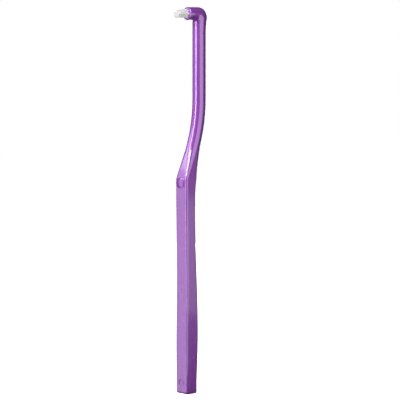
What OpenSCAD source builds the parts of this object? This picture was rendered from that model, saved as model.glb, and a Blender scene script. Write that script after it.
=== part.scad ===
// Single-tuft interdental toothbrush.
//
// One moulding carries everything: a rectangular grip, a kink, a sloping neck that bends upright,
// and a short barrel head at a right angle to it. The head has a middle hole and a ring of holes.
// Each hole holds a bunch of nylon filaments folded in half over a flat metal anchor.
//
// The brush stands on its butt. +Z runs along the grip to the head, and the tuft points to -Y.

/* [Whole brush] */
// Height from the butt to the top of the head
total_h = 175; // [150:1:210]
// Height of the kink where the front of the grip turns into the slope
kink_z = 98; // [80:1:105]

/* [Grip] */
// Width across the flat sides
grip_w = 7.6; // [6.6:0.1:9.6]
// Depth in front of the origin at the butt
butt_front = 3.1; // [2.6:0.1:3.6]
// Depth behind the origin at the butt
butt_back = 3.05; // [2.6:0.05:3.6]
// Rounding of the edges round the butt
butt_r = 1.2; // [0.5:0.1:2]
// Front depth where the lower grip swells
belly_front = 3.3; // [2.8:0.1:4.2]
// Height of the front swell
belly_front_z = 24; // [18:1:30]
// Back depth where the lower grip swells
belly_back = 3.85; // [3:0.05:4.8]
// Height of the back swell
belly_back_z = 28; // [20:1:36]
// Front depth at the waist
waist_front = 3; // [2.6:0.1:3.6]
// Height of the front waist
waist_front_z = 45; // [36:1:55]
// Front depth just under the kink
shoulder_front = 3.5; // [2.8:0.1:4.2]
// Back depth at the thinnest place, under the bend
shoulder_back = 2.4; // [2:0.1:3.2]
// Height of the thinnest place of the back
shoulder_back_z = 84; // [70:1:88]
// Rounding of the long edges on the lower grip
grip_edge_r = 0.6; // [0.3:0.1:1.2]
// Rounding of the long edges at the kink
kink_edge_r = 1; // [0.4:0.1:1.6]

/* [Neck] */
// Diameter of the round neck
neck_d = 6.1; // [5:0.1:7.3]
// Distance of the upright neck's axis behind the origin
neck_y = 7.35; // [6.5:0.05:9]
// Lean of the slope from the vertical
slope_angle = 16.3; // [13:0.1:20]
// Radius of the bend that turns the slope upright
bend_r = 69; // [50:1:85]
// Radius of the bend that turns the back of the grip into the slope
back_bend_r = 57; // [40:1:65]
// Height over which the flats of the grip run out into the round neck, above the kink
run_out_h = 14; // [8:0.5:16]

/* [Head] */
// Diameter of the barrel that holds the tuft
head_d = 6; // [5.6:0.1:7.2]
// Distance of the barrel's front face behind the origin
head_front = 0.1; // [-1:0.1:1]
// Radius of the outer corner of the elbow
elbow_r = 4.6; // [4:0.1:5.4]
// How far the elbow bulges out behind the neck
heel = 0.75; // [0:0.05:1]
// Height over which the bulge fades into the neck
heel_fade = 4; // [3:0.5:8]
// Fillet in the inner corner of the elbow
crook_r = 0.5; // [0.3:0.1:1]
// Rounding of the rim round the front face
rim_r = 0.6; // [0.2:0.1:0.8]

/* [Marks] */
// Width of the raised oval pip under the kink
pip_w = 6.2; // [4:0.1:6.5]
// Length of the pip along the grip
pip_l = 4.4; // [3:0.1:5]
// Height of the pip above the grip
pip_h = 0.3; // [0.1:0.05:0.5]
// Distance of the pip's centre below the kink
pip_drop = 2; // [1.8:0.1:8]
// Diameter of the shallow round recess near the butt
recess_d = 3.8; // [2:0.1:4]
// Depth of that recess
recess_depth = 0.3; // [0.1:0.05:0.4]
// Height of the recess's centre
recess_z = 5; // [4.5:0.1:12]

/* [Tuft] */
// Diameter of each hole for filaments
hole_d = 1.2; // [1:0.05:1.44]
// Depth of each hole
hole_depth = 3.6; // [3:0.1:4.5]
// Wall left between neighbouring holes
hole_wall = 0.15; // [0.1:0.01:0.2]
// Diameter of one filament
filament_d = 0.19; // [0.15:0.01:0.23]
// Free length of the filaments in the middle of the tuft
free_l = 7; // [5:0.1:9]
// How much shorter the outermost filaments are than the middle ones
dome = 0.7; // [0:0.1:1.5]

/* [Anchors] */
// Thickness of the flat anchor wire
anchor_t = 0.2; // [0.15:0.01:0.24]
// How far each end of an anchor bites into the wall of its hole
anchor_bite = 0.2; // [0.1:0.01:0.22]
// Height of an anchor along its hole
anchor_h = 1.2; // [0.8:0.1:1.6]

/* [Hidden] */
// Gap that keeps filaments clear of each other, of the anchor and of the hole.
clearance = 0.015;
// How far cutting tools reach past the surface they cut.
reach = 1;

// Sides of the handle's cross-section, in four equal corners.
corner_steps = 8;
corner_turn = 90 / corner_steps;
// Height of one band of the grip, and of one band of the slope and the bend.
grip_band = 6;
slope_band = 2;
// Turns of one band round the butt, the elbow and the rim.
butt_turn = 22.5;
elbow_turn = 7.5;
rim_turn = 22.5;
// Share of the pip's half thickness that is sunk in the grip
pip_sink = 0.45;

grip_half = grip_w / 2;
neck_r = neck_d / 2;
head_r = head_d / 2;

// The leaning neck is cut level, so its front and back lie further from its axis.
slope_reach = neck_r / cos(slope_angle);
// The slope's axis at the kink puts the front of the slope on the front of the grip.
slope_start_y = slope_reach - shoulder_front;
bend_shift = bend_r * (1 - cos(slope_angle));
slope_h = (neck_y - slope_start_y - bend_shift) / tan(slope_angle);
bend_start_z = kink_z + slope_h;
bend_end_z = bend_start_z + bend_r * sin(slope_angle);

// The back of the slope meets the back of the grip here, and an arc rounds that corner.
back_corner_z = kink_z - (slope_start_y + slope_reach - shoulder_back) / tan(slope_angle);
back_bend_h = back_bend_r * tan(slope_angle / 2);
back_bend_start_z = back_corner_z - back_bend_h;
back_bend_end_z = back_corner_z + back_bend_h * cos(slope_angle);

head_z = total_h - head_r;
// The elbow's sections all stand on this line, in the hollow of its inner corner.
pivot_y = neck_y - neck_r - crook_r;
pivot_z = head_z - head_r - crook_r;
// Centre of the arc that rounds the elbow's outer corner.
elbow_y = neck_y + neck_r + heel - elbow_r;
elbow_z = total_h - elbow_r;
heel_start_z = pivot_z - heel_fade;
// Tilt of the section where the elbow's arc meets its flat top.
top_tilt = atan2(total_h - pivot_z, elbow_y - pivot_y);

pip_half_y = pip_h / (1 - pip_sink);
pip_widening = 1 / sqrt(1 - pow(pip_sink, 2));

// Six holes round a middle one touch walls with it and with each other.
ring_count = 6;
hole_pitch = hole_d + hole_wall;
hole_r = hole_d / 2;
hole_bottom = head_front + hole_depth;

// Filaments stand in rows on both sides of the anchor, and a row is one filament pitch wide.
filament_r = filament_d / 2;
filament_pitch = filament_d + clearance;
inner_leg = anchor_t / 2 + clearance + filament_r;
packing_r = hole_r - clearance - filament_r;
layer_count = floor((packing_r - inner_leg) / filament_pitch);
row_count = floor(packing_r / filament_pitch);
// Each folded filament has a leg offset from the anchor and a place along it: those that fit.
filament_places = [
    for (layer = [0:layer_count], row = [-row_count:row_count])
        let(place = [inner_leg + layer * filament_pitch, row * filament_pitch])
        if (norm(place) <= packing_r) place
];
outer_leg = inner_leg + layer_count * filament_pitch;
// The folds lie under the anchor's deep edge, and the outer folds end just above the bottom.
fold_y = hole_bottom - clearance - filament_r - outer_leg;
anchor_w = hole_d + 2 * anchor_bite;
tuft_r = hole_pitch + hole_r;
tip_chamfer = filament_r / 2;
tip_y = head_front - free_l;

HANDLE_COLOR = [0.58, 0.36, 0.68];
TUFT_COLOR = [0.96, 0.96, 0.94];
ANCHOR_COLOR = [0.78, 0.74, 0.62];

function bunch_name(kind, number) = str(kind, "_", number == 0 ? "centre" : number);

// ---------------------------------------------------------------- outlines of the handle

// A share from 0 to 1 that starts and ends gently.
function ease(share) = (1 - cos(180 * share)) / 2;
function clamp(value) = max(0, min(1, value));
function mix(from, to, share) = from + (to - from) * share;
function wave(z, z_from, z_to, from, to) = mix(from, to, ease(clamp((z - z_from) / (z_to - z_from))));

// Front of the grip, as a depth in front of the origin.
function grip_front(z) =
    z < belly_front_z ? wave(z, 0, belly_front_z, butt_front, belly_front)
    : z < waist_front_z ? wave(z, belly_front_z, waist_front_z, belly_front, waist_front)
    : wave(z, waist_front_z, kink_z, waist_front, shoulder_front);

// Back of the grip, as a depth behind the origin.
function grip_back(z) =
    z < belly_back_z ? wave(z, 0, belly_back_z, butt_back, belly_back)
    : wave(z, belly_back_z, shoulder_back_z, belly_back, shoulder_back);

// Axis of the neck: a slope, an arc, then upright.
function neck_axis(z) =
    z < bend_start_z ? slope_start_y + (z - kink_z) * tan(slope_angle)
    : z < bend_end_z ? neck_y - bend_r + sqrt(pow(bend_r, 2) - pow(bend_end_z - z, 2))
    : neck_y;

// Half the depth of the neck, measured level: it lessens as the neck comes upright.
function neck_lean(z) =
    z < bend_start_z ? slope_angle
    : z < bend_end_z ? asin((bend_end_z - z) / bend_r)
    : 0;
function neck_reach(z) = neck_r / cos(neck_lean(z));

// Back of the whole handle below the elbow.
function back_y(z) =
    z < back_bend_start_z ? grip_back(z)
    : z < back_bend_end_z
        ? shoulder_back + back_bend_r - sqrt(pow(back_bend_r, 2) - pow(z - back_bend_start_z, 2))
    : neck_axis(z) + neck_reach(z);

function front_y(z) = z <= kink_z ? -grip_front(z) : neck_axis(z) - neck_reach(z);

// How round the section is: 0 on the grip, 1 on the neck.
function roundness(z) = clamp((z - kink_z) / run_out_h);
function edge_r(z) = mix(grip_edge_r, kink_edge_r, ease(clamp(z / kink_z)));

// ---------------------------------------------------------------- sections of the handle

// A section is [centre y, centre z, tilt, half width, half depth, corner x, corner y].
// Tilt 0 is level, and tilt 90 is upright with its depth along Z.
function level_section(z) =
    let(
        front = front_y(z),
        back = back_y(z),
        share = roundness(z),
        half_w = mix(grip_half, neck_r, share),
        half_d = (back - front) / 2
    )
    [(front + back) / 2, z, 0, half_w, half_d,
     mix(edge_r(z), half_w, share), mix(edge_r(z), half_d, share)];

// The same section drawn in by an inset on every side.
function inset_section(section, inset) = [
    section[0], section[1], section[2],
    section[3] - inset, section[4] - inset,
    max(section[5] - inset, grip_edge_r / 2), max(section[6] - inset, grip_edge_r / 2)
];

function round_section(y, z, tilt, half_w, half_d) = [y, z, tilt, half_w, half_d, half_w, half_d];

// Heights from one named height to the next, in bands of about the given size.
function bands(from, to, band) =
    let(count = max(1, round((to - from) / band)))
    [for (i = [1:count]) from + (to - from) * i / count];

// The butt: a quarter round that grows out to the full section.
butt_sections = [
    for (turn = [0:butt_turn:90])
        let(z = butt_r * (1 - cos(turn)), full = level_section(z))
        inset_section(full, butt_r * (1 - sin(turn)))
];

shaft_heights = concat(
    bands(butt_r, back_bend_start_z, grip_band),
    bands(back_bend_start_z, kink_z, slope_band),
    bands(kink_z, back_bend_end_z, slope_band),
    bands(back_bend_end_z, bend_start_z, slope_band),
    bands(bend_start_z, bend_end_z, slope_band)
);
shaft_sections = [for (z = shaft_heights) level_section(z)];

// The upright neck, whose back swells towards the heel of the elbow.
function heel_at(z) = (outer_reach(0) + pivot_y - neck_y - neck_r) * ease((z - heel_start_z) / heel_fade);
heel_sections = [
    for (z = concat([heel_start_z], bands(heel_start_z, pivot_z, slope_band / 2)))
        round_section(neck_y + heel_at(z) / 2, z, 0, neck_r, neck_r + heel_at(z) / 2)
];

// Distance from the pivot to the elbow's outside, seen at a tilt: the flat top, or the arc.
function outer_reach(tilt) =
    let(along = (elbow_y - pivot_y) * cos(tilt) + (elbow_z - pivot_z) * sin(tilt))
    tilt > top_tilt
        ? (total_h - pivot_z) / sin(tilt)
        : along + sqrt(pow(along, 2) - pow(elbow_y - pivot_y, 2) - pow(elbow_z - pivot_z, 2)
                       + pow(elbow_r, 2));

elbow_sections = [
    for (tilt = [elbow_turn:elbow_turn:90])
        let(reach_out = outer_reach(tilt), middle = (reach_out + crook_r) / 2)
        round_section(pivot_y + middle * cos(tilt), pivot_z + middle * sin(tilt), tilt,
                      mix(neck_r, head_r, tilt / 90), (reach_out - crook_r) / 2)
];

// The barrel's front, with its rim rounded off.
rim_sections = [
    for (turn = [0:rim_turn:90])
        let(radius = head_r - rim_r * (1 - cos(turn)))
        round_section(head_front + rim_r * (1 - sin(turn)), head_z, 90, radius, radius)
];

handle_sections = concat(butt_sections, shaft_sections, heel_sections, elbow_sections, rim_sections);

// Points of one section. The corner arcs bulge by a hair, so that the flats keep their full size.
function section_points(section) =
    [for (corner = [0:3], step = [0:corner_steps - 1])
        let(
            angle = 90 * corner + corner_turn * (step + 0.5),
            side_x = corner == 0 || corner == 3 ? 1 : -1,
            side_y = corner < 2 ? 1 : -1,
            bulge = 1 / cos(corner_turn / 2),
            across = side_x * (section[3] - section[5]) + section[5] * bulge * cos(angle),
            deep = side_y * (section[4] - section[6]) + section[6] * bulge * sin(angle)
        )
        [across, section[0] + deep * cos(section[2]), section[1] + deep * sin(section[2])]
    ];

// Skin over a list of sections, closed by a flat face at each end.
module skin(sections) {
    sides = 4 * corner_steps;
    last = (len(sections) - 1) * sides;
    points = [for (section = sections) each section_points(section)];
    walls = [
        for (level = [0:len(sections) - 2], side = [0:sides - 1])
            let(
                here = level * sides + side,
                next = level * sides + (side + 1) % sides
            )
            each [[here, next + sides, next], [here, here + sides, next + sides]]
    ];
    first_end = [[for (side = [0:sides - 1]) side]];
    last_end = [[for (side = [sides - 1:-1:0]) last + side]];
    polyhedron(points = points, faces = concat(first_end, walls, last_end));
}

// ---------------------------------------------------------------- the tuft's layout

// Place of a hole on the head's face: number 0 is the middle one.
function hole_x(number) = number == 0 ? 0 : hole_pitch * cos(360 * number / ring_count);
function hole_z(number) = number == 0 ? 0 : hole_pitch * sin(360 * number / ring_count);

module at_hole(number) {
    translate([hole_x(number), 0, head_z + hole_z(number)])
        children();
}

// Tip of a filament leg at a place across the head's face: the tuft is domed.
function leg_tip(x, z) = tip_y + dome * pow(norm([x, z]) / tuft_r, 2);

// ---------------------------------------------------------------- pieces

// A flattened ball, sunk until its outline on the grip has the pip's width and length.
module thumb_pip() {
    pip_z = kink_z - pip_drop;
    translate([0, pip_half_y - pip_h - grip_front(pip_z), pip_z])
        scale([pip_widening * pip_w / 2, pip_half_y, pip_widening * pip_l / 2])
            sphere(r = 1, $fn = 96);
}

module butt_recess() {
    translate([0, recess_depth - grip_front(recess_z), recess_z])
        rotate([90, 0, 0])
            cylinder(d = recess_d, h = reach, $fn = 48);
}

module tuft_hole() {
    translate([0, hole_bottom, 0])
        rotate([90, 0, 0])
            cylinder(d = hole_d, h = hole_depth + reach, $fn = 32);
}

module anchor_blade() {
    translate([-anchor_t / 2, fold_y - anchor_h, -anchor_w / 2])
        cube([anchor_t, anchor_h, anchor_w]);
}

module handle() {
    color(HANDLE_COLOR)
        difference() {
            union() {
                skin(handle_sections);
                thumb_pip();
            }
            butt_recess();
            for (number = [0:ring_count])
                at_hole(number) {
                    tuft_hole();
                    anchor_blade();
                }
        }
}

// One straight leg from the fold to its chamfered tip.
module filament_leg(length) {
    rotate([90, 0, 0])
        rotate_extrude($fn = 16)
            polygon([
                [0, 0],
                [filament_r, 0],
                [filament_r, length - tip_chamfer],
                [filament_r - tip_chamfer, length],
                [0, length]
            ]);
}

// A filament folded in half: two legs joined by a half ring.
module filament(number, leg_x, leg_z) {
    translate([0, fold_y, leg_z]) {
        rotate_extrude(angle = 180, $fn = 16)
            translate([leg_x, 0])
                circle(d = filament_d, $fn = 16);
        for (side = [-1, 1])
            translate([side * leg_x, 0, 0])
                filament_leg(fold_y - leg_tip(hole_x(number) + side * leg_x, hole_z(number) + leg_z));
    }
}

module tuft(number) {
    color(TUFT_COLOR)
        at_hole(number) {
            for (place = filament_places)
                filament(number, place[0], place[1]);
        }
}

module anchor(number) {
    color(ANCHOR_COLOR)
        at_hole(number)
            anchor_blade();
}

handle();
for (number = [0:ring_count]) {
    tuft(number);
    anchor(number);
}
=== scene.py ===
"""Single-tuft interdental brush: handle, bristles and studio, built round the packed CAD frame."""

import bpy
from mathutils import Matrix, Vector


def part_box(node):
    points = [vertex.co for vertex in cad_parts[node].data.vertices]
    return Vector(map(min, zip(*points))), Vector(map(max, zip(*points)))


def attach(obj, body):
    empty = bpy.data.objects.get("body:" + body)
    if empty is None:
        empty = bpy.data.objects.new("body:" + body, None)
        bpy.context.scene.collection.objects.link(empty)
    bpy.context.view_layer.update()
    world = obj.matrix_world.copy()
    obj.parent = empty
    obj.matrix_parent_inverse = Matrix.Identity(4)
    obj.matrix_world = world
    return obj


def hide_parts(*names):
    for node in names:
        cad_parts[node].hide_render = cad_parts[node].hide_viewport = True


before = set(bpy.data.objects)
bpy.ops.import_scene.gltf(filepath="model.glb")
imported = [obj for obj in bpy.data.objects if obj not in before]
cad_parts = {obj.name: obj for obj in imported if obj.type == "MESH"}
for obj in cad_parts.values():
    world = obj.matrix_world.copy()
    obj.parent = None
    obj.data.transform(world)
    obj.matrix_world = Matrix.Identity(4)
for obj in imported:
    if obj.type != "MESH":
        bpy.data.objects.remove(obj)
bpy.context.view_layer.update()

import math
import random
from collections import namedtuple

import bmesh
import bpy
from bpy.props import FloatProperty, FloatVectorProperty, IntProperty, PointerProperty
from mathutils import Matrix, Vector

bl_info = {
    "name": "Interdental Brush",
    "version": (1, 0, 0),
    "blender": (4, 5, 0),
    "location": "3D View > Sidebar > Brush",
    "description": "Builds a single-tuft brush on its CAD frame, with its studio",
    "category": "Add Mesh",
}

MM = 0.001
BODY = "root"

# ---------------------------------------------------------------- places read from the frame

HANDLE_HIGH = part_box("handle")[1]
HOLES = [name[len("anchor"):] for name in sorted(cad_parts) if name.startswith("anchor")]


def middle_of(node):
    """Centre of a CAD node's box."""
    low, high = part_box(node)
    return (Vector(low) + Vector(high)) / 2


HEAD_AXIS_Z = middle_of("anchor_centre").z

# ---------------------------------------------------------------- sizes and colours


def length(name, description, millimetres):
    """A length property whose default is given in millimetres."""
    return FloatProperty(name=name, description=description, default=millimetres * MM,
                         precision=5, subtype="DISTANCE", unit="LENGTH")


def angle(name, description, degrees):
    """An angle property whose default is given in degrees."""
    return FloatProperty(name=name, description=description, default=math.radians(degrees),
                         subtype="ANGLE", unit="ROTATION")


def share(name, description, value):
    """A property from 0 to 1."""
    return FloatProperty(name=name, description=description, default=value,
                         min=0.0, max=1.0, subtype="FACTOR")


def colour(name, description, value):
    """A colour property."""
    return FloatVectorProperty(name=name, description=description, default=value, size=3,
                               min=0.0, max=1.0, subtype="COLOR")


class HandleSizes(bpy.types.PropertyGroup):
    """Sizes of the moulded handle that the frame's boxes don't give."""

    butt_front: length("Butt front", "Depth in front of the origin at the butt", 3.1)
    butt_back: length("Butt back", "Depth behind the origin at the butt", 3.05)
    butt_round: length("Butt rounding", "Rounding of the edges round the butt", 1.2)
    belly_front: length("Belly front", "Front depth where the lower grip swells", 3.3)
    belly_front_z: length("Belly front height", "Height of the front swell", 24)
    belly_back: length("Belly back", "Back depth where the lower grip swells", 3.85)
    belly_back_z: length("Belly back height", "Height of the back swell", 28)
    waist_front: length("Waist front", "Front depth at the waist", 3.0)
    waist_front_z: length("Waist height", "Height of the front waist", 45)
    shoulder_front: length("Shoulder front", "Front depth just under the kink", 3.5)
    shoulder_back: length("Shoulder back", "Back depth at the thinnest place", 2.4)
    shoulder_back_z: length("Shoulder back height", "Height of the thinnest place", 84)
    kink_z: length("Kink height", "Height at which the front turns into the slope", 98)
    kink_round: length("Kink rounding", "Softness of the kink's edge", 0.2)
    grip_edge: length("Grip edge", "Rounding of the long edges on the lower grip", 0.6)
    kink_edge: length("Shoulder edge", "Rounding of the long edges at the kink", 1.0)
    run_out: length("Run-out", "Height over which the grip's flats run out into the neck", 14)
    neck_width: length("Neck diameter", "Diameter of the round neck", 6.1)
    neck_y: length("Neck offset", "Distance of the upright neck's axis behind the origin", 7.35)
    slope: angle("Slope", "Lean of the slope from the vertical", 16.3)
    bend_radius: length("Bend radius", "Radius of the bend that turns the slope upright", 69)
    back_bend_radius: length("Back bend radius", "Radius of the bend in the grip's back", 57)
    head_width: length("Head diameter", "Diameter of the barrel that holds the tuft", 6.0)
    head_front: length("Head face", "Distance of the barrel's face behind the origin", 0.1)
    elbow_round: length("Elbow rounding", "Radius of the elbow's outer corner", 4.6)
    heel: length("Heel", "How far the elbow bulges out behind the neck", 0.75)
    heel_fade: length("Heel fade", "Height over which that bulge fades", 4.0)
    crook_round: length("Crook rounding", "Fillet in the elbow's inner corner", 0.5)
    rim_round: length("Rim rounding", "Rounding of the rim round the head's face", 0.6)
    pip_width: length("Pip width", "Width of the raised oval pip", 6.2)
    pip_length: length("Pip length", "Length of the pip along the grip", 4.4)
    pip_height: length("Pip height", "Height of the pip above the grip", 0.3)
    pip_sink: share("Pip sink", "Share of the pip's half thickness that is sunk in the grip", 0.45)
    pip_drop: length("Pip drop", "Distance of the pip's centre below the kink", 2.0)
    recess_width: length("Recess diameter", "Diameter of the round recess near the butt", 3.8)
    recess_depth: length("Recess depth", "Depth of that recess", 0.3)
    recess_z: length("Recess height", "Height of that recess's centre", 5.0)
    hole_width: length("Hole diameter", "Diameter of one bristle hole", 1.2)
    hole_depth: length("Hole depth", "Depth of one bristle hole", 3.6)


class TuftSizes(bpy.types.PropertyGroup):
    """Sizes of the bristles."""

    filament: length("Filament", "Diameter of one filament", 0.15)
    gap: length("Gap", "Gap between filaments in a hole", 0.01)
    spread: FloatProperty(name="Spread", description="How much a bunch widens from hole to tip",
                          default=1.42, min=1.0, max=1.5)
    opening: FloatProperty(name="Opening", description="How soon a bunch widens past its hole",
                           default=4.5, min=1.0, max=6.0)
    flare: FloatProperty(name="Flare", description="How much the bunches lean apart at the tip",
                         default=1.03, min=1.0, max=1.3)
    dome: length("Dome", "How much shorter the outermost filaments are", 0.6)
    lift: length("Lift", "How far the tips stand above the holes' level", 0.25)
    stray: length("Stray", "How far a filament wanders from its place", 0.05)
    seed: IntProperty(name="Seed", description="Start of the random wander", default=7)


class StudioSizes(bpy.types.PropertyGroup):
    """Camera and lights."""

    azimuth: angle("Azimuth", "Turn of the camera round the brush from its front", 50)
    elevation: angle("Elevation", "Height of the camera above the level", 4.5)
    distance: length("Distance", "Distance of the camera", 1000)
    view_width: length("View width", "Width of the view at the brush", 180.63)
    aside: length("Aside", "How far the view's middle is to the right of the grip", 6.06)
    view_z: length("View height", "Height of the view's middle", 88.19)
    floor_size: length("Floor size", "Width of the square floor", 1600)


class BrushColours(bpy.types.PropertyGroup):
    """Colours of the materials."""

    plastic: colour("Plastic", "Violet of the moulded plastic", (0.25, 0.048, 0.39))
    pearl: colour("Pearl", "Paler violet of the pearl pigment", (0.31, 0.08, 0.46))
    nylon: colour("Nylon", "White of the bristles", (0.88, 0.88, 0.865))
    wire: colour("Anchor wire", "Pale metal of the anchors", (0.72, 0.66, 0.5))
    floor: colour("Floor", "Pale studio floor", (0.9, 0.9, 0.9))


# ---------------------------------------------------------------- small helpers


def ease(value):
    """A share from 0 to 1 that starts and ends gently."""
    return (1 - math.cos(math.pi * min(max(value, 0.0), 1.0))) / 2


def mix(start, end, value):
    """The value at a share of the way from start to end."""
    return start + (end - start) * value


def steps(start, end, size):
    """Values from just past start to end, in equal steps of about the given size."""
    count = max(1, round((end - start) / size))
    return [mix(start, end, (index + 1) / count) for index in range(count)]


def quarter_turns(count):
    """Angles from 0 to a quarter turn, both ends included."""
    return [math.pi / 2 * index / count for index in range(count + 1)]


def soft_max(first, second, softness):
    """The larger of two values, with the corner between them rounded."""
    return (first + second + math.hypot(first - second, softness)) / 2


def new_piece(name, mesh, material, outward=False):
    """Turns a bmesh into a smooth-shaded object with a material.

    Outward says that the faces already point outwards. A long bent strand needs it, because
    finding its outside again can turn it inside out.
    """
    if not outward:
        bmesh.ops.recalc_face_normals(mesh, faces=mesh.faces)
    data = bpy.data.meshes.new(name)
    mesh.to_mesh(data)
    mesh.free()
    piece = bpy.data.objects.new(name, data)
    bpy.context.scene.collection.objects.link(piece)
    data.materials.append(material)
    shade_smooth(data)
    return piece


def shade_smooth(data, sharp_angle=math.radians(32)):
    """Smooth shading that keeps edges sharper than the angle crisp."""
    data.polygons.foreach_set("use_smooth", [True] * len(data.polygons))
    data.set_sharp_from_angle(angle=sharp_angle)


def declare(piece, slot, *nodes):
    """Hangs a finished piece on its body and hides the CAD nodes that it stands for; the slot is
    not used.
    """
    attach(piece, BODY)
    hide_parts(*nodes)


# ---------------------------------------------------------------- lofting

# Points of a section's outline: along each half side, and round each corner.
FLAT_STEPS = 5
CORNER_STEPS = 12
QUARTER = 2 * FLAT_STEPS + CORNER_STEPS

# Distances and turns between sections, closest where the outline turns most. The closest ones
# reach up and down from the kink by KINK_REACH times its rounding.
NECK_STEP = 4.0 * MM
GRIP_STEP = 2.0 * MM
BEND_STEP = 1.0 * MM
BARREL_STEP = 0.8 * MM
HEEL_STEP = 0.4 * MM
KINK_STEP = 0.1 * MM
KINK_REACH = 8
ELBOW_STEP = math.radians(3)
RIM_STEP = math.radians(9)
FACE_INSET = 0.05 * MM

# How far outside the surface a cutting tool starts, and the rounding of a hole's mouth.
TOOL_START = 1.0 * MM
HOLE_LIP = 0.06 * MM

# Steps round a turned cutting tool, and how close its points are merged.
TOOL_STEPS = 64
MERGE_REACH = 0.001 * MM

Section = namedtuple("Section", "y z tilt half_width half_depth corner_x corner_y evenness")


def round_section(y, z, tilt, half_width, half_depth):
    """A section whose outline is a circle or an oval."""
    return Section(y, z, tilt, half_width, half_depth, half_width, half_depth, 1.0)


def quarter_point(section, step):
    """Point of the outline's first quarter, from the side's middle to the back's middle."""
    side = section.half_depth - section.corner_y
    back = section.half_width - section.corner_x
    arc = (section.corner_x + section.corner_y) * math.pi / 4
    if step <= FLAT_STEPS:
        along = side * step / FLAT_STEPS
    elif step <= FLAT_STEPS + CORNER_STEPS:
        along = side + arc * (step - FLAT_STEPS) / CORNER_STEPS
    else:
        along = side + arc + back * (step - FLAT_STEPS - CORNER_STEPS) / FLAT_STEPS
    along = mix(along, (side + arc + back) * step / QUARTER, section.evenness)
    if along < side:
        return section.half_width, along
    if along > side + arc:
        return section.half_width - section.corner_x - (along - side - arc), section.half_depth
    turn = (along - side) / arc * math.pi / 2
    return back + section.corner_x * math.cos(turn), side + section.corner_y * math.sin(turn)


def outline(section):
    """Points of a whole section, as places across and deep."""
    points = []
    for quarter, (side_x, side_y) in enumerate([(1, 1), (-1, 1), (-1, -1), (1, -1)]):
        for step in range(QUARTER):
            across, deep = quarter_point(section, QUARTER - step if quarter % 2 else step)
            points.append((side_x * across, side_y * deep))
    return points


def place_ring(ring, section):
    """Moves a ring of vertices onto a section."""
    for vertex, (across, deep) in zip(ring, outline(section)):
        vertex.co = (across,
                     section.y + deep * math.cos(section.tilt),
                     section.z + deep * math.sin(section.tilt))


def extrude_ring(mesh, ring):
    """Extrudes a closed ring of vertices, and returns the new ring in the same order."""
    members = set(ring)
    edges = {edge for vertex in ring for edge in vertex.link_edges
             if edge.other_vert(vertex) in members}
    grown = bmesh.ops.extrude_edge_only(mesh, edges=list(edges))["geom"]
    fresh = {element for element in grown if isinstance(element, bmesh.types.BMVert)}
    return [next(edge.other_vert(vertex) for edge in vertex.link_edges
                 if edge.other_vert(vertex) in fresh) for vertex in ring]


def close_ring(mesh, ring):
    """Closes a ring with one flat face."""
    return bmesh.ops.contextual_create(mesh, geom=ring)["faces"][0]


# ---------------------------------------------------------------- the handle's form


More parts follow.
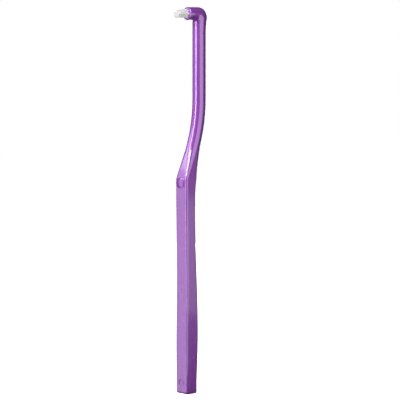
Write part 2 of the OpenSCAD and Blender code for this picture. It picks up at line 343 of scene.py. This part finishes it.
class HandleForm:
    """Works out the handle's outline at any height, and its sections."""

    def __init__(self, sizes):
        self.sizes = sizes
        self.grip_half = HANDLE_HIGH[0]
        self.top = HANDLE_HIGH[2]
        self.neck_r = sizes.neck_width / 2
        self.head_r = sizes.head_width / 2
        tangent = math.tan(sizes.slope)
        reach = self.neck_r / math.cos(sizes.slope)
        self.slope_start_y = reach - sizes.shoulder_front
        shift = sizes.bend_radius * (1 - math.cos(sizes.slope))
        self.bend_start = sizes.kink_z + (sizes.neck_y - self.slope_start_y - shift) / tangent
        self.bend_end = self.bend_start + sizes.bend_radius * math.sin(sizes.slope)
        corner = sizes.kink_z - (self.slope_start_y + reach - sizes.shoulder_back) / tangent
        half_bend = sizes.back_bend_radius * math.tan(sizes.slope / 2)
        self.back_bend_start = corner - half_bend
        self.back_bend_end = corner + half_bend * math.cos(sizes.slope)
        self.pivot_y = sizes.neck_y - self.neck_r - sizes.crook_round
        self.pivot_z = HEAD_AXIS_Z - self.head_r - sizes.crook_round
        self.elbow_y = sizes.neck_y + self.neck_r + sizes.heel - sizes.elbow_round
        self.elbow_z = self.top - sizes.elbow_round
        self.heel_start = self.pivot_z - sizes.heel_fade

    def grip_front(self, z):
        """Depth of the grip in front of the origin."""
        sizes = self.sizes
        if z < sizes.belly_front_z:
            return mix(sizes.butt_front, sizes.belly_front, ease(z / sizes.belly_front_z))
        if z < sizes.waist_front_z:
            rise = (z - sizes.belly_front_z) / (sizes.waist_front_z - sizes.belly_front_z)
            return mix(sizes.belly_front, sizes.waist_front, ease(rise))
        rise = (z - sizes.waist_front_z) / (sizes.kink_z - sizes.waist_front_z)
        return mix(sizes.waist_front, sizes.shoulder_front, ease(rise))

    def grip_back(self, z):
        """Depth of the grip behind the origin."""
        sizes = self.sizes
        if z < sizes.belly_back_z:
            return mix(sizes.butt_back, sizes.belly_back, ease(z / sizes.belly_back_z))
        rise = (z - sizes.belly_back_z) / (sizes.shoulder_back_z - sizes.belly_back_z)
        return mix(sizes.belly_back, sizes.shoulder_back, ease(rise))

    def neck_axis(self, z):
        """Distance of the neck's axis behind the origin: a slope, an arc, then upright."""
        sizes = self.sizes
        if z < self.bend_start:
            return self.slope_start_y + (z - sizes.kink_z) * math.tan(sizes.slope)
        if z < self.bend_end:
            drop = self.bend_end - z
            return sizes.neck_y - sizes.bend_radius + math.sqrt(sizes.bend_radius**2 - drop**2)
        return sizes.neck_y

    def neck_reach(self, z):
        """Half the depth of the leaning neck, cut level."""
        drop = self.bend_end - max(z, self.bend_start)
        lean = math.asin(drop / self.sizes.bend_radius) if drop > 0 else 0.0
        return self.neck_r / math.cos(lean)

    def front(self, z):
        """Front outline of the grip and the slope, with the kink between them."""
        slope = self.neck_axis(z) - self.neck_reach(z)
        return soft_max(-self.grip_front(z), slope, self.sizes.kink_round)

    def back(self, z):
        """Back outline of the grip, its bend and the neck."""
        sizes = self.sizes
        if z < self.back_bend_start:
            return self.grip_back(z)
        if z < self.back_bend_end:
            rise = z - self.back_bend_start
            bend = sizes.back_bend_radius
            return sizes.shoulder_back + bend - math.sqrt(bend**2 - rise**2)
        return self.neck_axis(z) + self.neck_reach(z)

    def level_section(self, z, inset=0.0):
        """Section of the grip, the slope or the bend, drawn in by an inset all round."""
        sizes = self.sizes
        evenness = min(max((z - sizes.kink_z) / sizes.run_out, 0.0), 1.0)
        edge = mix(sizes.grip_edge, sizes.kink_edge, ease(z / sizes.kink_z))
        front, back = self.front(z), self.back(z)
        half_width = mix(self.grip_half, self.neck_r, evenness) - inset
        half_depth = (back - front) / 2 - inset
        corner = max(edge - inset, sizes.grip_edge / 2)
        return Section((front + back) / 2, z, 0.0, half_width, half_depth,
                       mix(corner, half_width, evenness), mix(corner, half_depth, evenness),
                       evenness)

    def butt_sections(self):
        """A quarter round that grows from the flat end to the full grip."""
        radius = self.sizes.butt_round
        return [self.level_section(radius * (1 - math.cos(turn)), radius * (1 - math.sin(turn)))
                for turn in quarter_turns(8)]

    def shaft_sections(self):
        """Grip, kink, slope and bend."""
        sizes = self.sizes
        kink_low = sizes.kink_z - KINK_REACH * sizes.kink_round
        kink_high = sizes.kink_z + KINK_REACH * sizes.kink_round
        heights = (steps(sizes.butt_round, self.back_bend_start, GRIP_STEP)
                   + steps(self.back_bend_start, kink_low, BEND_STEP)
                   + steps(kink_low, kink_high, KINK_STEP)
                   + steps(kink_high, self.bend_end, BEND_STEP))
        return [self.level_section(z) for z in heights]

    def outer_reach(self, tilt):
        """Distance from the elbow's pivot to its outside, seen at a tilt."""
        aside = self.elbow_y - self.pivot_y
        above = self.elbow_z - self.pivot_z
        if tilt > math.atan2(self.top - self.pivot_z, aside):
            return (self.top - self.pivot_z) / math.sin(tilt)
        along = aside * math.cos(tilt) + above * math.sin(tilt)
        return along + math.sqrt(along**2 - aside**2 - above**2 + self.sizes.elbow_round**2)

    def neck_sections(self):
        """The upright neck, whose back swells towards the heel of the elbow."""
        sizes = self.sizes
        full_swell = self.outer_reach(0.0) + self.pivot_y - sizes.neck_y - self.neck_r
        heights = (steps(self.bend_end, self.heel_start, NECK_STEP)
                   + steps(self.heel_start, self.pivot_z, HEEL_STEP))
        sections = []
        for z in heights:
            swell = full_swell * ease((z - self.heel_start) / sizes.heel_fade)
            sections.append(round_section(sizes.neck_y + swell / 2, z, 0.0,
                                          self.neck_r, self.neck_r + swell / 2))
        return sections

    def elbow_sections(self):
        """The elbow, turned about the hollow of its inner corner."""
        sections = []
        for tilt in steps(0.0, math.pi / 2, ELBOW_STEP):
            far = self.outer_reach(tilt)
            middle = (far + self.sizes.crook_round) / 2
            sections.append(round_section(
                self.pivot_y + middle * math.cos(tilt), self.pivot_z + middle * math.sin(tilt),
                tilt, mix(self.neck_r, self.head_r, tilt / (math.pi / 2)),
                (far - self.sizes.crook_round) / 2))
        return sections

    def barrel_sections(self):
        """The barrel towards its face, with the rim rounded off."""
        sizes = self.sizes
        rim_start = sizes.head_front + sizes.rim_round
        sections = [round_section(y, HEAD_AXIS_Z, math.pi / 2, self.head_r, self.head_r)
                    for y in steps(self.pivot_y, rim_start, BARREL_STEP)]
        for turn in steps(0.0, math.pi / 2, RIM_STEP):
            radius = self.head_r - sizes.rim_round * (1 - math.cos(turn))
            y = sizes.head_front + sizes.rim_round * (1 - math.sin(turn))
            sections.append(round_section(y, HEAD_AXIS_Z, math.pi / 2, radius, radius))
        return sections

    def sections(self):
        """All sections, from the butt to the head's face."""
        return (self.butt_sections() + self.shaft_sections() + self.neck_sections()
                + self.elbow_sections() + self.barrel_sections())


def loft_handle(form):
    """Skin over all the handle's sections, closed at the butt and at the head's face."""
    mesh = bmesh.new()
    sections = form.sections()
    ring = bmesh.ops.create_circle(mesh, segments=4 * QUARTER, radius=form.neck_r)["verts"]
    place_ring(ring, sections[0])
    butt = ring
    for section in sections[1:]:
        ring = extrude_ring(mesh, ring)
        place_ring(ring, section)
    close_ring(mesh, butt)
    face = close_ring(mesh, ring)
    bmesh.ops.inset_region(mesh, faces=[face], thickness=FACE_INSET)
    return mesh


def turned(mesh, profile, axis_point):
    """Spins a profile of (radius, y) pairs about a line along Y through a point."""
    vertices = [mesh.verts.new((axis_point[0] + radius, axis_point[1] + y, axis_point[2]))
                for radius, y in profile]
    edges = [mesh.edges.new(pair) for pair in zip(vertices, vertices[1:])]
    bmesh.ops.spin(mesh, geom=vertices + edges, cent=axis_point, axis=(0, 1, 0),
                   angle=2 * math.pi, steps=TOOL_STEPS, use_merge=True)
    bmesh.ops.remove_doubles(mesh, verts=mesh.verts, dist=MERGE_REACH)


def pip_tool(form):
    """The thumb pip: an oval pad, part of a flattened ball that is sunk into the grip."""
    sizes = form.sizes
    z = sizes.kink_z - sizes.pip_drop
    half_thickness = sizes.pip_height / (1 - sizes.pip_sink)
    widening = 1 / math.sqrt(1 - sizes.pip_sink**2)
    half_sizes = (widening * sizes.pip_width / 2, half_thickness, widening * sizes.pip_length / 2)
    centre = Vector((0, half_thickness - sizes.pip_height - form.grip_front(z), z))
    mesh = bmesh.new()
    bmesh.ops.create_uvsphere(mesh, u_segments=TOOL_STEPS, v_segments=48, radius=1.0, matrix=(
        Matrix.Translation(centre) @ Matrix.Diagonal((*half_sizes, 1.0))
        @ Matrix.Rotation(math.pi / 2, 4, "X")))
    return mesh


def recess_tool(form):
    """The shallow recess near the butt, with a rounded bottom edge."""
    sizes = form.sizes
    radius = sizes.recess_width / 2
    fillet = sizes.recess_depth / 3
    corner = [(radius - fillet * (1 - math.cos(turn)), -fillet * (1 - math.sin(turn)))
              for turn in quarter_turns(5)]
    floor_y = sizes.recess_depth - form.grip_front(sizes.recess_z)
    mesh = bmesh.new()
    turned(mesh, [(0.0, -TOOL_START), (radius, -TOOL_START)] + corner + [(0.0, 0.0)],
           (0.0, floor_y, sizes.recess_z))
    return mesh


def holes_tool(form):
    """All bristle holes, each with a slightly rounded mouth."""
    sizes = form.sizes
    radius = sizes.hole_width / 2
    mouth = [(radius + HOLE_LIP * (1 - math.sin(turn)), HOLE_LIP * (1 - math.cos(turn)))
             for turn in quarter_turns(4)]
    mesh = bmesh.new()
    for hole in HOLES:
        place = middle_of("anchor" + hole)
        profile = ([(0.0, -TOOL_START), (radius + HOLE_LIP, -TOOL_START)] + mouth
                   + [(radius, sizes.hole_depth), (0.0, sizes.hole_depth)])
        turned(mesh, profile, (place.x, sizes.head_front, place.z))
    return mesh


def slots_tool():
    """The slots that the anchors cut on both sides of their holes."""
    mesh = bmesh.new()
    for hole in HOLES:
        low, high = (Vector(corner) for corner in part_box("anchor" + hole))
        size = high - low
        matrix = Matrix.Translation((low + high) / 2) @ Matrix.Diagonal((*size, 1.0))
        bmesh.ops.create_cube(mesh, size=1.0, matrix=matrix)
    return mesh


def carve(piece, operation, tool_mesh):
    """Adds a tool's solid to a piece, or cuts it away, for good."""
    tool = new_piece("tool", tool_mesh, None)
    modifier = piece.modifiers.new("carve", "BOOLEAN")
    modifier.operation = operation
    modifier.solver = "EXACT"
    modifier.object = tool
    graph = bpy.context.evaluated_depsgraph_get()
    carved = bpy.data.meshes.new_from_object(piece.evaluated_get(graph))
    piece.modifiers.remove(modifier)
    old = piece.data
    piece.data = carved
    carved.name = piece.name
    bpy.data.meshes.remove(old)
    tool_data = tool.data
    bpy.data.objects.remove(tool)
    bpy.data.meshes.remove(tool_data)


def clean_up(data, reach=0.0005 * MM):
    """Splits faces of many corners into triangles and takes out the ones without an area."""
    mesh = bmesh.new()
    mesh.from_mesh(data)
    many_cornered = [face for face in mesh.faces if len(face.verts) > 4]
    bmesh.ops.triangulate(mesh, faces=many_cornered)
    bmesh.ops.dissolve_degenerate(mesh, edges=mesh.edges, dist=reach)
    mesh.to_mesh(data)
    mesh.free()


# ---------------------------------------------------------------- bristles

# Rings of a strand: steps along its free length, places along the part inside the hole (0 at
# the fold, 1 at the hole's mouth), the turn from ring to ring round the fold, and the turns
# round the tip.
STRAND_SIDES = 8
FREE_STEPS = 7
BURIED_PLACES = (0.1, 1)
FOLD_STEP = math.pi / 8
TIP_TURNS = [math.radians(value) for value in (0, 30, 60, 80)]
Z_AXIS = Vector((0, 0, 1))


def plain_tube(ring_count):
    """A closed tube to copy, and the vertex numbers of each of its rings."""
    mesh = bmesh.new()
    rings = [bmesh.ops.create_circle(mesh, segments=STRAND_SIDES, radius=MM)["verts"]]
    for _ in range(ring_count - 1):
        rings.append(extrude_ring(mesh, rings[-1]))
        bmesh.ops.translate(mesh, verts=rings[-1], vec=(0, 0, MM))
    close_ring(mesh, rings[0])
    close_ring(mesh, rings[-1])
    bmesh.ops.recalc_face_normals(mesh, faces=mesh.faces)
    mesh.verts.index_update()
    numbers = [[vertex.index for vertex in ring] for ring in rings]
    data = bpy.data.meshes.new("plain_tube")
    mesh.to_mesh(data)
    mesh.free()
    return data, numbers


def add_strand(mesh, tube, points, radii):
    """Copies the plain tube into a mesh, and bends it along points in space."""
    data, numbers = tube
    start = len(mesh.verts)
    mesh.from_mesh(data)
    mesh.verts.ensure_lookup_table()
    last = len(points) - 1
    for index, (point, radius) in enumerate(zip(points, radii)):
        ahead = (points[min(index + 1, last)] - points[max(index - 1, 0)]).normalized()
        upright = (Z_AXIS - ahead * ahead.dot(Z_AXIS)).normalized()
        sideways = ahead.cross(upright)
        for number, vertex in enumerate(numbers[index]):
            turn = 2 * math.pi * number / STRAND_SIDES
            mesh.verts[start + vertex].co = (
                point + radius * (math.cos(turn) * upright + math.sin(turn) * sideways))


def leg_places(sizes, hole_r, anchor_half):
    """Places of folded filaments in a hole: leg offset from the anchor and place along it."""
    radius = sizes.filament / 2
    pitch = sizes.filament + sizes.gap
    limit = hole_r - radius - sizes.gap / 2
    rows = math.ceil(limit / pitch)
    places = []
    layer = 0
    offset = anchor_half + radius + sizes.gap / 2
    while offset <= limit:
        shift = pitch / 2 if layer % 2 else 0.0
        for row in range(-rows, rows + 1):
            place = (offset, row * pitch + shift)
            if math.hypot(*place) <= limit:
                places.append(place)
        layer += 1
        offset += pitch * math.sqrt(3) / 2
    return places


def tip_rounding(radius):
    """Steps from a filament's shaft to its rounded tip, as (shortening, radius) pairs."""
    return [(radius * (1 - math.sin(turn)), radius * math.cos(turn)) for turn in TIP_TURNS]


class TuftForm:
    """Works out the run of each filament of one bunch."""

    def __init__(self, hole, sizes, handle_sizes):
        self.sizes = sizes
        self.centre = middle_of("anchor" + hole)
        anchor_low, anchor_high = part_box("anchor" + hole)
        self.anchor_half = (anchor_high[0] - anchor_low[0]) / 2
        self.fold_y = anchor_high[1]
        self.face_y = handle_sizes.head_front
        self.hole_r = handle_sizes.hole_width / 2
        self.tip_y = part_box("tuft_centre")[0][1]
        self.reach = middle_of("anchor_1") - middle_of("anchor_centre")
        self.outer_r = self.reach.length + self.hole_r

    def leg(self, across, along, wander):
        """Points of one leg from just above the fold to the tip, and their radii."""
        sizes = self.sizes
        radius = sizes.filament / 2
        aside_x, aside_z, shorter, bow_x, bow_z = wander
        foot = Vector((self.centre.x + across, self.face_y, self.centre.z + along))
        lean = Vector((self.centre.x, 0, self.centre.z - HEAD_AXIS_Z)) * (sizes.flare - 1)
        tip = Vector((
            self.centre.x + across * sizes.spread + lean.x + aside_x,
            0.0,
            self.centre.z + along * sizes.spread + lean.z + aside_z + sizes.lift))
        off_axis = math.hypot(tip.x, tip.z - HEAD_AXIS_Z - sizes.lift) / self.outer_r
        tip.y = self.tip_y + sizes.dome * off_axis**2 + abs(shorter)
        points = [Vector((foot.x, mix(self.fold_y, foot.y, value), foot.z))
                  for value in BURIED_PLACES]
        radii = [radius] * len(points)
        for value in steps(0.0, 1.0, 1 / FREE_STEPS):
            bow = math.sin(math.pi * value)
            bend = 1 - (1 - value)**sizes.opening
            points.append(Vector((
                mix(foot.x, tip.x, bend) + bow_x * bow,
                mix(foot.y, tip.y + radius, value),
                mix(foot.z, tip.z, bend) + bow_z * bow)))
            radii.append(radius)
        points.pop()
        radii.pop()
        end = points[-1]
        way = (tip - end).normalized()
        for shortening, tip_radius in tip_rounding(radius):
            points.append(tip - way * shortening)
            radii.append(tip_radius)
        return points, radii

    def filament(self, place, chance):
        """Points and radii of one filament, folded in half under the anchor."""
        across, along = place
        stray = self.sizes.stray
        wanders = [[chance.uniform(-stray, stray) for _ in range(5)] for _ in range(2)]
        right, right_radii = self.leg(across, along, wanders[0])
        left, left_radii = self.leg(-across, along, wanders[1])
        fold = [Vector((self.centre.x + across * math.cos(turn),
                        self.fold_y + across * math.sin(turn), self.centre.z + along))
                for turn in steps(0.0, math.pi, FOLD_STEP)[:-1]]
        points = right[::-1] + fold + left
        radii = right_radii[::-1] + [self.sizes.filament / 2] * len(fold) + left_radii
        return points, radii


# ---------------------------------------------------------------- shader maths


class Signal:
    """A value in a material's nodes: arithmetic on it adds Math nodes."""

    def __init__(self, nodes, socket):
        self.nodes = nodes
        self.socket = socket

    def math(self, operation, *values):
        return self.nodes.add("ShaderNodeMath", {"operation": operation}, dict(enumerate(values)))

    def __add__(self, other):
        return self.math("ADD", self, other)

    def __sub__(self, other):
        return self.math("SUBTRACT", self, other)

    def __rsub__(self, other):
        return self.math("SUBTRACT", other, self)

    def __mul__(self, other):
        return self.math("MULTIPLY", self, other)

    def clamped(self):
        return self.nodes.add("ShaderNodeClamp", {}, {"Value": self})

    __radd__ = __add__
    __rmul__ = __mul__


# Sockets of a Mix node that have no name of their own.
MIX_FACTOR, MIX_FIRST_COLOUR, MIX_SECOND_COLOUR, MIX_COLOUR_OUT = 0, 6, 7, 2


class Nodes:
    """The node tree of one material or world."""

    def __init__(self, owner):
        owner.use_nodes = True
        self.tree = owner.node_tree
        self.tree.nodes.clear()

    def add(self, kind, settings, inputs, output=0):
        """Any node: its settings first, then the values or links of its sockets."""
        node = self.tree.nodes.new(kind)
        for name, value in settings.items():
            setattr(node, name, value)
        for key, value in inputs.items():
            if isinstance(value, Signal):
                self.tree.links.new(value.socket, node.inputs[key])
            else:
                node.inputs[key].default_value = value
        return Signal(self, node.outputs[output]) if node.outputs else None

    def blend(self, factor, first, second):
        """Mixes two colours."""
        inputs = {MIX_FACTOR: factor, MIX_FIRST_COLOUR: first, MIX_SECOND_COLOUR: second}
        return self.add("ShaderNodeMix", {"data_type": "RGBA"}, inputs, output=MIX_COLOUR_OUT)

    def place(self, scale=(1, 1, 1)):
        """Object coordinates, drawn out along the axes with a scale under 1."""
        where = self.add("ShaderNodeTexCoord", {}, {}, output="Object")
        return self.add("ShaderNodeMapping", {}, {"Vector": where, "Scale": scale})

    def noise(self, where, scale, detail=2.0, roughness=0.5, distortion=0.0):
        """Soft noise with about the scale's number of patches to a metre."""
        inputs = {"Vector": where, "Scale": scale, "Detail": detail,
                  "Roughness": roughness, "Distortion": distortion}
        return self.add("ShaderNodeTexNoise", {}, inputs)

    def bump(self, height, distance):
        """Relief as deep as the distance where the height is 1."""
        inputs = {"Height": height, "Distance": distance, "Strength": 1.0}
        return self.add("ShaderNodeBump", {}, inputs)


def with_alpha(rgb):
    """An opaque colour for a socket."""
    return (*rgb, 1.0)


def new_material(name):
    """A new material and its empty node tree."""
    material = bpy.data.materials.new(name)
    return material, Nodes(material)


def finish_material(nodes, inputs):
    """The one shader of a material, and its output."""
    shader = nodes.add("ShaderNodeBsdfPrincipled", {}, inputs)
    nodes.add("ShaderNodeOutputMaterial", {}, {"Surface": shader})


def pearl_plastic(colours):
    """Glossy violet plastic with pearl pigment that has flowed along the handle."""
    material, nodes = new_material("pearl_plastic")
    flow = nodes.noise(nodes.place(scale=(1, 1, 0.12)), scale=260.0, detail=3.0, distortion=1.2)
    cloud = nodes.noise(nodes.place(scale=(1, 1, 0.35)), scale=45.0)
    grain = nodes.noise(nodes.place(), scale=9000.0, detail=1.0)
    orange_peel = nodes.noise(nodes.place(), scale=700.0)
    pearl = ((flow - 0.5) * 1.1 + (cloud - 0.5) * 0.7 + (grain - 0.5) * 0.35 + 0.42).clamped()
    base = nodes.blend(pearl, with_alpha(colours.plastic), with_alpha(colours.pearl))
    handling = nodes.noise(nodes.place(scale=(1, 1, 0.6)), scale=120.0, detail=4.0,
                           roughness=0.65)
    roughness = 0.26 + (handling - 0.5) * 0.12 + (grain - 0.5) * 0.08
    height = orange_peel * 0.7 + grain * 0.06
    finish_material(nodes, {
        "Base Color": base,
        "Metallic": 0.15 + (grain - 0.5) * 0.2,
        "Roughness": roughness,
        "IOR": 1.5,
        "Coat Weight": 1.0,
        "Coat Roughness": 0.06,
        "Coat IOR": 1.8,
        "Normal": nodes.bump(height, 0.0012 * MM),
    })
    return material


def nylon(colours):
    """White nylon filament, a little uneven along its length.

    Its weak glow is painted light: it stands for the light that filaments pass on to each other in
    a bunch.
    """
    material, nodes = new_material("nylon")
    draw = nodes.noise(nodes.place(scale=(1, 0.15, 1)), scale=5000.0)
    tone = (draw * 0.5 + 0.3).clamped()
    shade = tuple(value * 0.93 for value in colours.nylon)
    base = nodes.blend(tone, with_alpha(shade), with_alpha(colours.nylon))
    finish_material(nodes, {
        "Base Color": base,
        "Roughness": 0.34 + draw * 0.12,
        "IOR": 1.53,
        # painted glow: the bristles give off a little light of their own, standing in for light
        # scattered in the bunch
        "Emission Color": base,
        "Emission Strength": 0.1,
        "Subsurface Weight": 0.6,
        "Subsurface Radius": (1.0, 0.95, 0.9),
        "Subsurface Scale": 0.3 * MM,
        "Normal": nodes.bump(draw, 0.002 * MM),
    })
    return material


def anchor_wire(colours):
    """Drawn metal wire with fine lines along the anchor."""
    material, nodes = new_material("anchor_wire")
    lines = nodes.noise(nodes.place(scale=(1, 1, 0.05)), scale=16000.0, detail=3.0)
    dark = tuple(value * 0.75 for value in colours.wire)
    base = nodes.blend(lines, with_alpha(dark), with_alpha(colours.wire))
    finish_material(nodes, {
        "Base Color": base,
        "Metallic": 1.0,
        "Roughness": 0.22 + lines * 0.2,
        "Normal": nodes.bump(lines, 0.003 * MM),
    })
    return material


def floor_paint(colours):
    """Matt pale paint."""
    material, nodes = new_material("floor_paint")
    speckle = nodes.noise(nodes.place(), scale=400.0)
    dim = tuple(value * 0.985 for value in colours.floor)
    base = nodes.blend(speckle, with_alpha(dim), with_alpha(colours.floor))
    finish_material(nodes, {"Base Color": base, "Roughness": 0.9,
                            "Emission Color": base, "Emission Strength": 1.2})
    return material


# ---------------------------------------------------------------- operators


class BRUSH_OT_make_handle(bpy.types.Operator):
    """Builds the moulded handle with its pip, recess and bristle holes"""

    bl_idname = "brush.make_handle"
    bl_label = "Make Handle"

    def execute(self, context):
        form = HandleForm(context.scene.brush_handle)
        material = pearl_plastic(context.scene.brush_colours)
        handle = new_piece("moulded_handle", loft_handle(form), material)
        carve(handle, "UNION", pip_tool(form))
        carve(handle, "DIFFERENCE", recess_tool(form))
        carve(handle, "DIFFERENCE", holes_tool(form))
        carve(handle, "DIFFERENCE", slots_tool())
        clean_up(handle.data)
        shade_smooth(handle.data)
        declare(handle, "handle_plastic", "handle")
        return {"FINISHED"}


class BRUSH_OT_make_bristles(bpy.types.Operator):
    """Builds the seven bunches of folded nylon filaments"""

    bl_idname = "brush.make_bristles"
    bl_label = "Make Bristles"

    def execute(self, context):
        sizes = context.scene.brush_tuft
        material = nylon(context.scene.brush_colours)
        chance = random.Random(sizes.seed)
        tube = None
        for hole in HOLES:
            form = TuftForm(hole, sizes, context.scene.brush_handle)
            strands = [form.filament(place, chance)
                       for place in leg_places(sizes, form.hole_r, form.anchor_half)]
            tube = tube or plain_tube(len(strands[0][0]))
            mesh = bmesh.new()
            for points, radii in strands:
                add_strand(mesh, tube, points, radii)
            bunch = new_piece("bristles" + hole, mesh, material, outward=True)
            declare(bunch, "bristle_nylon", "tuft" + hole)
        bpy.data.meshes.remove(tube[0])
        return {"FINISHED"}


class BRUSH_OT_finish_anchors(bpy.types.Operator):
    """Gives the anchors their drawn wire finish"""

    bl_idname = "brush.finish_anchors"
    bl_label = "Finish Anchors"

    def execute(self, context):
        material = anchor_wire(context.scene.brush_colours)
        for hole in HOLES:
            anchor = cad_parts["anchor" + hole]
            anchor.data.materials.clear()
            anchor.data.materials.append(material)
        return {"FINISHED"}


def facing(direction):
    """Rotation that points an object's -Z along a direction, with its Y up."""
    return Vector(direction).to_track_quat("-Z", "Y").to_euler()


def add_softbox(lamp, target, azimuth):
    """A rectangular light that faces a point, placed by its turn from the view direction."""
    heading = azimuth + math.radians(lamp.turn)
    rise = math.radians(lamp.rise)
    way = Vector((math.sin(heading) * math.cos(rise),
                  -math.cos(heading) * math.cos(rise), math.sin(rise)))
    data = bpy.data.lights.new(lamp.name, "AREA")
    data.shape = "RECTANGLE"
    data.size, data.size_y = lamp.size
    data.energy = lamp.power
    light = bpy.data.objects.new(lamp.name, data)
    light.location = Vector(target) + way * lamp.distance
    light.rotation_euler = facing(-way)
    bpy.context.scene.collection.objects.link(light)


# Name, the point that a lamp faces (None for the view's middle), its turn to the right of the
# view and its rise in degrees, its distance, width and height in metres, and its power in watts.
Lamp = namedtuple("Lamp", "name target turn rise distance size power")
LAMPS = [
    Lamp("key", None, -30, 46, 0.6, (0.17, 0.3), 2.7),
    Lamp("strip", None, -54, 7, 0.6, (0.12, 0.6), 2.2),
    Lamp("side", None, -97, 8, 0.7, (0.2, 0.95), 0.65),
    Lamp("high_side", None, -92, 34, 0.7, (0.4, 0.4), 1.0),
    Lamp("fill", (0, 0, 0.08), 46, 4, 0.2, (0.24, 0.24), 0.27),
    Lamp("glow", (0, 0, -0.01), 82, 0, 0.7, (0.3, 0.09), 0.05),
    Lamp("back", None, 180, -12, 0.7, (0.3, 0.6), 2.4),
    Lamp("top", (0, -0.008, 0.172), -20, 72, 0.1, (0.08, 0.08), 0.025),
]
SURROUND_COLOUR = (0.9, 0.9, 1.0, 1.0)
SURROUND_STRENGTH = 0.05
BACKDROP_COLOUR = (1.0, 1.0, 1.0, 1.0)
BACKDROP_STRENGTH = 1.0


class BRUSH_OT_make_studio(bpy.types.Operator):
    """Builds the pale floor, the lights and the camera"""

    bl_idname = "brush.make_studio"
    bl_label = "Make Studio"

    def execute(self, context):
        scene = context.scene
        sizes = scene.brush_studio
        self.make_floor(scene, sizes)
        self.make_world(scene)
        self.make_camera(scene, sizes)
        self.make_lamps(sizes)
        scene.view_settings.view_transform = "Standard"
        return {"FINISHED"}

    def make_floor(self, scene, sizes):
        """A pale floor that throws no light, reflection or shadow onto the brush."""
        mesh = bmesh.new()
        bmesh.ops.create_grid(mesh, x_segments=4, y_segments=4, size=sizes.floor_size / 2)
        floor = new_piece("studio_floor", mesh, floor_paint(scene.brush_colours))
        floor.visible_diffuse = False
        floor.visible_glossy = False
        floor.visible_shadow = False

    def make_world(self, scene):
        """A white backdrop to look at, and a dim surround that lights the brush."""
        world = bpy.data.worlds.new("studio")
        scene.world = world
        nodes = Nodes(world)
        seen = nodes.add("ShaderNodeLightPath", {}, {})
        around = nodes.add("ShaderNodeBackground", {},
                           {"Color": SURROUND_COLOUR, "Strength": SURROUND_STRENGTH})
        behind = nodes.add("ShaderNodeBackground", {},
                           {"Color": BACKDROP_COLOUR, "Strength": BACKDROP_STRENGTH})
        both = nodes.add("ShaderNodeMixShader", {}, {0: seen, 1: around, 2: behind})
        nodes.add("ShaderNodeOutputWorld", {}, {"Surface": both})

    def make_camera(self, scene, sizes):
        """A long lens that sees the whole brush."""
        turn, rise = sizes.azimuth, sizes.elevation
        target = Vector((sizes.aside * math.cos(turn), sizes.aside * math.sin(turn), sizes.view_z))
        back = Vector((math.sin(turn) * math.cos(rise), -math.cos(turn) * math.cos(rise),
                       math.sin(rise)))
        data = bpy.data.cameras.new("view")
        data.lens = data.sensor_width * sizes.distance / sizes.view_width
        data.clip_start = 0.01
        camera = bpy.data.objects.new("view", data)
        camera.location = target + back * sizes.distance
        camera.rotation_euler = facing(-back)
        scene.collection.objects.link(camera)
        scene.camera = camera

    def make_lamps(self, sizes):
        """Soft boxes round the brush."""
        for lamp in LAMPS:
            add_softbox(lamp, lamp.target or (0, 0, sizes.view_z), sizes.azimuth)


class BRUSH_PT_panel(bpy.types.Panel):
    """Lists the brush's steps and sizes"""

    bl_idname = "BRUSH_PT_panel"
    bl_label = "Interdental Brush"
    bl_space_type = "VIEW_3D"
    bl_region_type = "UI"
    bl_category = "Brush"

    def draw(self, context):
        for operator in STEPS:
            self.layout.operator(operator.bl_idname)
        for name, group in GROUPS.items():
            box = self.layout.box()
            box.label(text=group.__doc__)
            for prop in group.__annotations__:
                box.prop(getattr(context.scene, name), prop)


GROUPS = {
    "brush_handle": HandleSizes,
    "brush_tuft": TuftSizes,
    "brush_studio": StudioSizes,
    "brush_colours": BrushColours,
}
STEPS = [BRUSH_OT_make_studio, BRUSH_OT_make_handle, BRUSH_OT_make_bristles,
         BRUSH_OT_finish_anchors]
CLASSES = [*GROUPS.values(), *STEPS, BRUSH_PT_panel]


def register():
    for cls in CLASSES:
        bpy.utils.register_class(cls)
    for name, group in GROUPS.items():
        setattr(bpy.types.Scene, name, PointerProperty(type=group))


def unregister():
    for name in GROUPS:
        delattr(bpy.types.Scene, name)
    for cls in reversed(CLASSES):
        bpy.utils.unregister_class(cls)


def main():
    register()
    bpy.ops.brush.make_studio()
    bpy.ops.brush.make_handle()
    bpy.ops.brush.make_bristles()
    bpy.ops.brush.finish_anchors()


if __name__ == "__main__":
    main()
